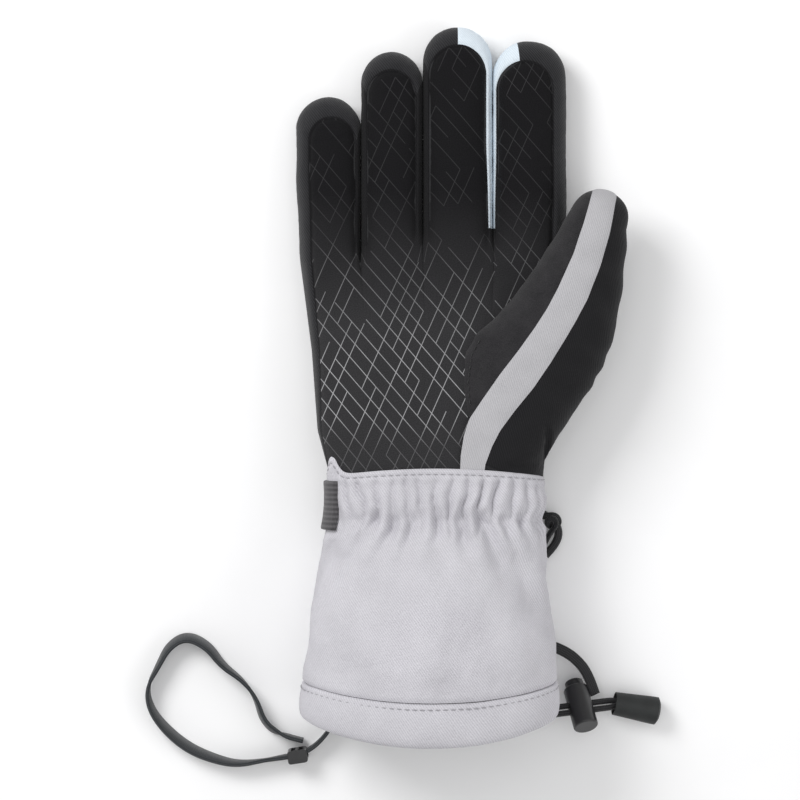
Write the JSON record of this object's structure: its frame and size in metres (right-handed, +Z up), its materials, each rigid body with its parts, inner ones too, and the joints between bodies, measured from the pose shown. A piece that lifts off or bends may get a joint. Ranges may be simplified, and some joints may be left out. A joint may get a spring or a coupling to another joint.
{
  "type": "ski glove",
  "caption": "Right-hand padded ski glove with gauntlet cuff, gathered wrist, wrist strap, hem drawcord with barrel lock and a wrist leash.",
  "frame": {"origin": "on the surface the glove lies on, under the middle of the glove without its cords", "axes": "+X to the thumb side, +Y from the cuff to the fingertips, +Z up out of the palm"},
  "size_m": [0.2202, 0.3151, 0.0751],
  "materials": {
    "black_twill": "matt polyester twill",
    "palm_print": "matt synthetic leather with printed grip lines",
    "suede": "matt brushed synthetic suede",
    "grey_twill": "light grey polyester twill",
    "white_twill": "cool white polyester twill",
    "lining": "brushed fleece",
    "elastic": "woven elastic",
    "webbing": "dark grey ribbed webbing",
    "leash": "flat woven elastic",
    "cord": "braided elastic cord",
    "black_plastic": "moulded acetal",
    "cord_rubber": "soft moulded rubber",
    "spring_steel": "steel wire"
  },
  "bodies": {
    "hand": {"palm_panel": "palm_print", "ulnar_side_band": "black_twill", "thumb_root_front": "suede", "thumb_root_stripe": "grey_twill", "back_panel": "black_twill", "hand_liner": "lining"},
    "little_base": {"little_base_face": "palm_print", "little_base_wrap": "black_twill", "little_base_liner": "lining"},
    "little_tip": {"little_tip_face": "palm_print", "little_tip_wrap": "black_twill", "little_tip_liner": "lining"},
    "ring_base": {"ring_base_face": "palm_print", "ring_base_wrap": "black_twill", "ring_base_liner": "lining"},
    "ring_tip": {"ring_tip_face": "palm_print", "ring_tip_wrap": "black_twill", "ring_tip_liner": "lining"},
    "middle_base": {"middle_base_face": "palm_print", "middle_base_wrap": "black_twill", "middle_base_liner": "lining", "middle_base_fourchette": "white_twill"},
    "middle_tip": {"middle_tip_face": "palm_print", "middle_tip_wrap": "black_twill", "middle_tip_liner": "lining", "middle_tip_fourchette": "white_twill"},
    "index_base": {"index_base_face": "palm_print", "index_base_wrap": "black_twill", "index_base_liner": "lining", "index_base_fourchette": "white_twill"},
    "index_tip": {"index_tip_face": "palm_print", "index_tip_wrap": "black_twill", "index_tip_liner": "lining", "index_tip_fourchette": "white_twill"},
    "thumb_base": {"thumb_base_front": "suede", "thumb_base_stripe": "grey_twill", "thumb_base_back": "black_twill", "thumb_base_liner": "lining"},
    "thumb_tip": {"thumb_tip_front": "suede", "thumb_tip_stripe": "grey_twill", "thumb_tip_back": "black_twill", "thumb_tip_liner": "lining"},
    "cuff": {"cuff_palm_panel": "grey_twill", "cuff_back_panel": "grey_twill", "hem_band": "grey_twill", "hem_drawcord": "cord", "cuff_lining": "lining", "wrist_elastic": "elastic", "wrist_strap": "webbing", "strap_buckle": "black_plastic", "wrist_pull_loop": "cord", "lock_tether": "cord", "leash_strap": "leash", "drawcord_tail": "cord", "cord_bell": "cord_rubber", "cord_bell_cap": "cord_rubber"},
    "cord_lock": {"lock_barrel": "black_plastic", "lock_spring": "spring_steel"},
    "lock_button": {"lock_plunger": "black_plastic"},
    "slider": {"leash_slider": "black_plastic"}
  },
  "joints": [
    {"name": "wrist_flex", "type": "hinge", "parent": "hand", "child": "cuff", "pos_m": [-0.011, -0.042, 0.026], "axis": [-1, 0, 0], "range_deg": [0, 35], "stiffness_Nm_per_rad": 0.6},
    {"name": "little_knuckle_bend", "type": "hinge", "parent": "hand", "child": "little_base", "pos_m": [0, 0.063, 0.0165], "axis": [1, 0, 0], "range_deg": [0, 65], "stiffness_Nm_per_rad": 0.05},
    {"name": "little_middle_bend", "type": "hinge", "parent": "little_base", "child": "little_tip", "pos_m": [0, 0.087, 0.0165], "axis": [1, 0, 0], "range_deg": [0, 75], "stiffness_Nm_per_rad": 0.03},
    {"name": "ring_knuckle_bend", "type": "hinge", "parent": "hand", "child": "ring_base", "pos_m": [0, 0.071, 0.0165], "axis": [1, 0, 0], "range_deg": [0, 65], "stiffness_Nm_per_rad": 0.05},
    {"name": "ring_middle_bend", "type": "hinge", "parent": "ring_base", "child": "ring_tip", "pos_m": [0, 0.101, 0.0165], "axis": [1, 0, 0], "range_deg": [0, 75], "stiffness_Nm_per_rad": 0.03},
    {"name": "middle_knuckle_bend", "type": "hinge", "parent": "hand", "child": "middle_base", "pos_m": [0, 0.071, 0.0165], "axis": [1, 0, 0], "range_deg": [0, 65], "stiffness_Nm_per_rad": 0.05},
    {"name": "middle_middle_bend", "type": "hinge", "parent": "middle_base", "child": "middle_tip", "pos_m": [0, 0.106, 0.0165], "axis": [1, 0, 0], "range_deg": [0, 75], "stiffness_Nm_per_rad": 0.03},
    {"name": "index_knuckle_bend", "type": "hinge", "parent": "hand", "child": "index_base", "pos_m": [0, 0.071, 0.0165], "axis": [1, 0, 0], "range_deg": [0, 65], "stiffness_Nm_per_rad": 0.05},
    {"name": "index_middle_bend", "type": "hinge", "parent": "index_base", "child": "index_tip", "pos_m": [0, 0.103, 0.0165], "axis": [1, 0, 0], "range_deg": [0, 75], "stiffness_Nm_per_rad": 0.03},
    {"name": "thumb_root_bend", "type": "hinge", "parent": "hand", "child": "thumb_base", "pos_m": [0.03571, 0.01361, 0.028], "axis": [-0.9367, 0.3502, 0], "range_deg": [-35, 0], "stiffness_Nm_per_rad": 0.06},
    {"name": "thumb_tip_bend", "type": "hinge", "parent": "thumb_base", "child": "thumb_tip", "pos_m": [0.04692, 0.04359, 0.028], "axis": [-0.9367, 0.3502, 0], "range_deg": [-45, 0], "stiffness_Nm_per_rad": 0.04},
    {"name": "cord_lock_slide", "type": "slide", "parent": "cuff", "child": "cord_lock", "axis": [-0.9737, -0.099, 0.205], "range_m": [0, 0.003]},
    {"name": "lock_button_press", "type": "slide", "parent": "cord_lock", "child": "lock_button", "axis": [0.2, -0.79, 0.5796], "range_m": [0, 0.003], "stiffness_N_per_m": 300, "springref_m": -0.002, "deforming": ["lock_spring"]},
    {"name": "leash_slider_slide", "type": "slide", "parent": "cuff", "child": "slider", "axis": [-0.9877, -0.1564, 0], "range_m": [0, 0.005]}
  ]
}
